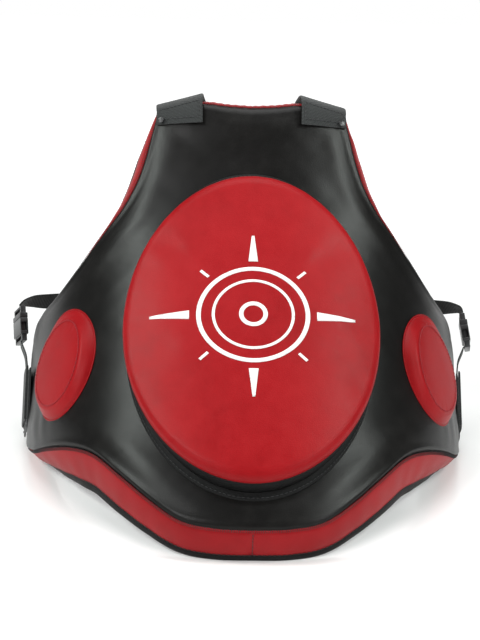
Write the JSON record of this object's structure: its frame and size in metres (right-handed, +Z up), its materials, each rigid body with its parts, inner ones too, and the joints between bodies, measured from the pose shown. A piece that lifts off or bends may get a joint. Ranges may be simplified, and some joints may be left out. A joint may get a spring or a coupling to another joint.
{
  "type": "chest protector",
  "caption": "Padded chest and trunk protector with a raised target pad, wrap-round wings, shoulder straps joined behind, side-release buckles and a closing waist belt.",
  "frame": {"origin": "centre of the bounding box's footprint at the floor the protector stands on", "axes": "+Z up; -Y is the front, the side that is struck; +X is to the right of someone looking at the front, so the wearer's left"},
  "size_m": [0.5231, 0.4131, 0.3869],
  "materials": {
    "black_leather": "satin, soft grain",
    "red_leather": "satin, soft grain",
    "foam": "matt, closed-cell foam",
    "lining": "matt woven nylon",
    "webbing": "matt woven polyester",
    "elastic": "matt ribbed elastic",
    "hook_and_loop": "matt pile",
    "black_plastic": "moulded, fine texture",
    "grey_plastic": "moulded, fine texture",
    "rivet_metal": "blackened, worn"
  },
  "bodies": {
    "vest": {"front_cover": "black_leather", "outer_foam": "foam", "inner_foam": "foam", "back_lining": "lining", "hem_gusset": "red_leather", "hem_binding": "black_leather", "armhole_gusset_left": "red_leather", "armhole_gusset_right": "red_leather", "armhole_binding_left": "black_leather", "armhole_binding_right": "black_leather", "neck_gusset": "red_leather", "neck_binding": "black_leather", "chest_pad_flange": "black_leather", "chest_pad_foam": "foam", "chest_pad_sidewall": "black_leather", "chest_pad_face": "red_leather", "side_pad_foam_left": "foam", "side_pad_foam_right": "foam", "side_pad_sidewall_left": "red_leather", "side_pad_sidewall_right": "red_leather", "side_pad_face_left": "red_leather", "side_pad_face_right": "red_leather", "shoulder_strap_left": "webbing", "shoulder_strap_right": "webbing", "strap_rivets": "rivet_metal", "back_patch_outer": "black_leather", "back_patch_inner": "black_leather", "lower_strap_left": "webbing", "lower_strap_right": "webbing", "buckle_anchor_left": "webbing", "buckle_anchor_right": "webbing", "buckle_socket_left": "grey_plastic", "buckle_socket_right": "grey_plastic", "waist_anchor_left": "webbing", "waist_anchor_right": "webbing", "waist_belt_left": "webbing", "waist_elastic_right": "elastic", "loop_patch": "hook_and_loop"},
    "adjuster_left": {"strap_adjuster_left": "black_plastic"},
    "buckle_plug_body_left": {"buckle_plug_left": "black_plastic"},
    "prong_front_left": {"buckle_prong_front_left": "black_plastic"},
    "prong_rear_left": {"buckle_prong_rear_left": "black_plastic"},
    "adjuster_right": {"strap_adjuster_right": "black_plastic"},
    "buckle_plug_body_right": {"buckle_plug_right": "black_plastic"},
    "prong_front_right": {"buckle_prong_front_right": "black_plastic"},
    "prong_rear_right": {"buckle_prong_rear_right": "black_plastic"},
    "belt_end": {"waist_belt_end": "webbing", "hook_patch": "hook_and_loop"}
  },
  "joints": [
    {"name": "adjuster_left_slide", "type": "slide", "parent": "vest", "child": "adjuster_left", "axis": [0.2297, 0.3215, -0.9186], "range_m": [-0.02, 0.02]},
    {"name": "buckle_left_release", "type": "slide", "parent": "vest", "child": "buckle_plug_body_left", "axis": [-0.0872, 0.5131, 0.8539], "range_m": [0, 0.03], "deforming": ["lower_strap_left"]},
    {"name": "prong_front_left_hinge", "type": "hinge", "parent": "buckle_plug_body_left", "child": "prong_front_left", "pos_m": [-0.2481, 0.15828, 0.12195], "axis": [0.9237, 0.3627, -0.1237], "range_deg": [0, 8], "stiffness_Nm_per_rad": 0.02},
    {"name": "prong_rear_left_hinge", "type": "hinge", "parent": "buckle_plug_body_left", "child": "prong_rear_left", "pos_m": [-0.2549, 0.17244, 0.11275], "axis": [-0.9237, -0.3627, 0.1237], "range_deg": [0, 8], "stiffness_Nm_per_rad": 0.02},
    {"name": "adjuster_right_slide", "type": "slide", "parent": "vest", "child": "adjuster_right", "axis": [-0.2297, 0.3215, -0.9186], "range_m": [-0.02, 0.02]},
    {"name": "buckle_right_release", "type": "slide", "parent": "vest", "child": "buckle_plug_body_right", "axis": [-0.1392, 0.51, 0.8488], "range_m": [0, 0.03], "deforming": ["lower_strap_right"]},
    {"name": "prong_front_right_hinge", "type": "hinge", "parent": "buckle_plug_body_right", "child": "prong_front_right", "pos_m": [0.25044, 0.15757, 0.12178], "axis": [0.9752, -0.0783, 0.2069], "range_deg": [0, 8], "stiffness_Nm_per_rad": 0.02},
    {"name": "prong_rear_right_hinge", "type": "hinge", "parent": "buckle_plug_body_right", "child": "prong_rear_right", "pos_m": [0.25356, 0.17316, 0.11293], "axis": [-0.9752, 0.0783, -0.2069], "range_deg": [0, 8], "stiffness_Nm_per_rad": 0.02},
    {"name": "belt_end_slide", "type": "slide", "parent": "vest", "child": "belt_end", "axis": [1, 0, 0], "range_m": [-0.03, 0.02], "deforming": ["waist_elastic_right"]}
  ],
  "couplings": [
    {"joint": "prong_rear_left_hinge", "follows": "prong_front_left_hinge", "ratio": 1},
    {"joint": "prong_rear_right_hinge", "follows": "prong_front_right_hinge", "ratio": 1}
  ]
}
